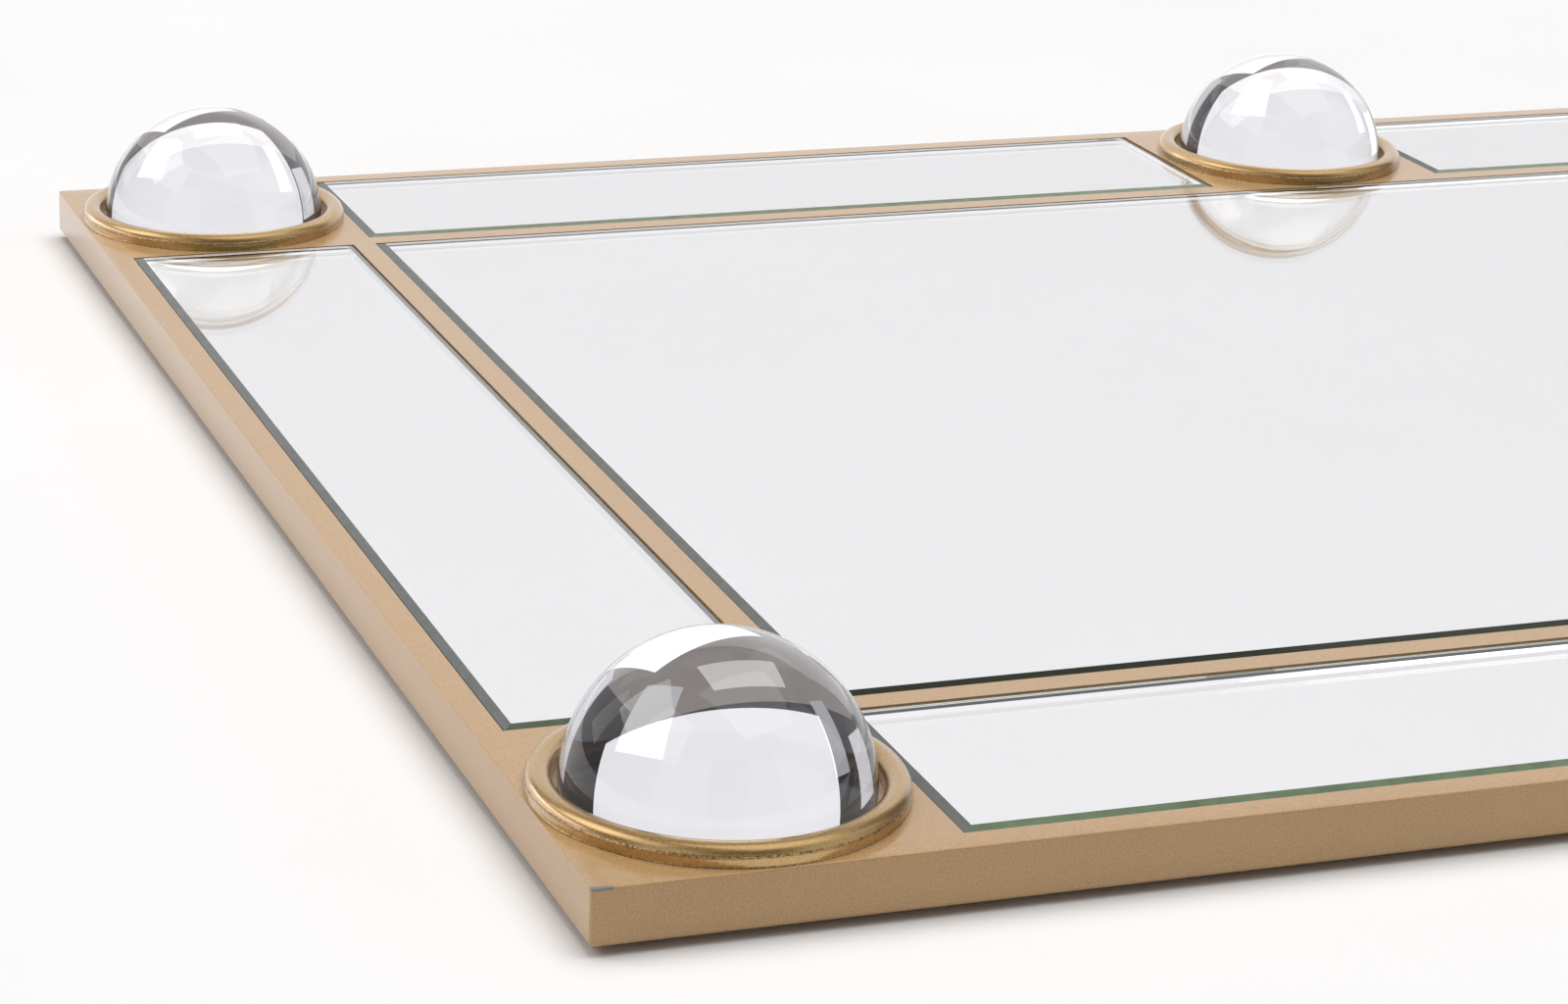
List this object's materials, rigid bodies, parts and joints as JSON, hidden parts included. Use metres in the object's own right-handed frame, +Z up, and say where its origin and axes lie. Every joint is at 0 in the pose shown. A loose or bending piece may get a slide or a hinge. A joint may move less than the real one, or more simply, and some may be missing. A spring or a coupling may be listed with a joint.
{
  "type": "mirrored vanity tray",
  "caption": "Flat rectangular dresser tray: gold-painted metal grid holding bevelled mirror panes, with crystal half-balls in raised rings along its border.",
  "frame": {"origin": "on the table, under the centre of the tray", "axes": "+X along the tray's length, +Y to its back, +Z up"},
  "size_m": [0.6, 0.4, 0.0361],
  "materials": {
    "gold_rail": "satin gold paint",
    "gold_grid": "satin gold paint",
    "gold_ring": "cast, gold paint, semi-gloss",
    "crystal": "polished clear crystal",
    "disc_mirror": "silvered",
    "mirror_glass": "polished, bevelled, silvered back",
    "tape": "white foam",
    "fibreboard": "pressed fibreboard",
    "zinc_screw": "zinc plated",
    "foot_rubber": "matte black"
  },
  "bodies": {
    "root": {"front_rail": "gold_rail", "back_rail": "gold_rail", "left_rail": "gold_rail", "right_rail": "gold_rail", "front_divider": "gold_grid", "back_divider": "gold_grid", "left_divider": "gold_grid", "right_divider": "gold_grid", "plate_front_left": "gold_grid", "plate_front_middle": "gold_grid", "plate_front_right": "gold_grid", "plate_back_left": "gold_grid", "plate_back_middle": "gold_grid", "plate_back_right": "gold_grid", "ring_front_left": "gold_ring", "ring_front_middle": "gold_ring", "ring_front_right": "gold_ring", "ring_back_left": "gold_ring", "ring_back_middle": "gold_ring", "ring_back_right": "gold_ring", "crystal_front_left": "crystal", "crystal_front_middle": "crystal", "crystal_front_right": "crystal", "crystal_back_left": "crystal", "crystal_back_middle": "crystal", "crystal_back_right": "crystal", "disc_front_left": "disc_mirror", "disc_front_middle": "disc_mirror", "disc_front_right": "disc_mirror", "disc_back_left": "disc_mirror", "disc_back_middle": "disc_mirror", "disc_back_right": "disc_mirror", "mirror_centre": "mirror_glass", "mirror_left": "mirror_glass", "mirror_right": "mirror_glass", "mirror_front_left": "mirror_glass", "mirror_front_right": "mirror_glass", "mirror_back_left": "mirror_glass", "mirror_back_right": "mirror_glass", "mirror_tape": "tape", "back_board": "fibreboard", "board_screws": "zinc_screw", "foot_front_left": "foot_rubber", "foot_front_middle": "foot_rubber", "foot_front_right": "foot_rubber", "foot_back_left": "foot_rubber", "foot_back_middle": "foot_rubber", "foot_back_right": "foot_rubber"}
  },
  "joints": []
}
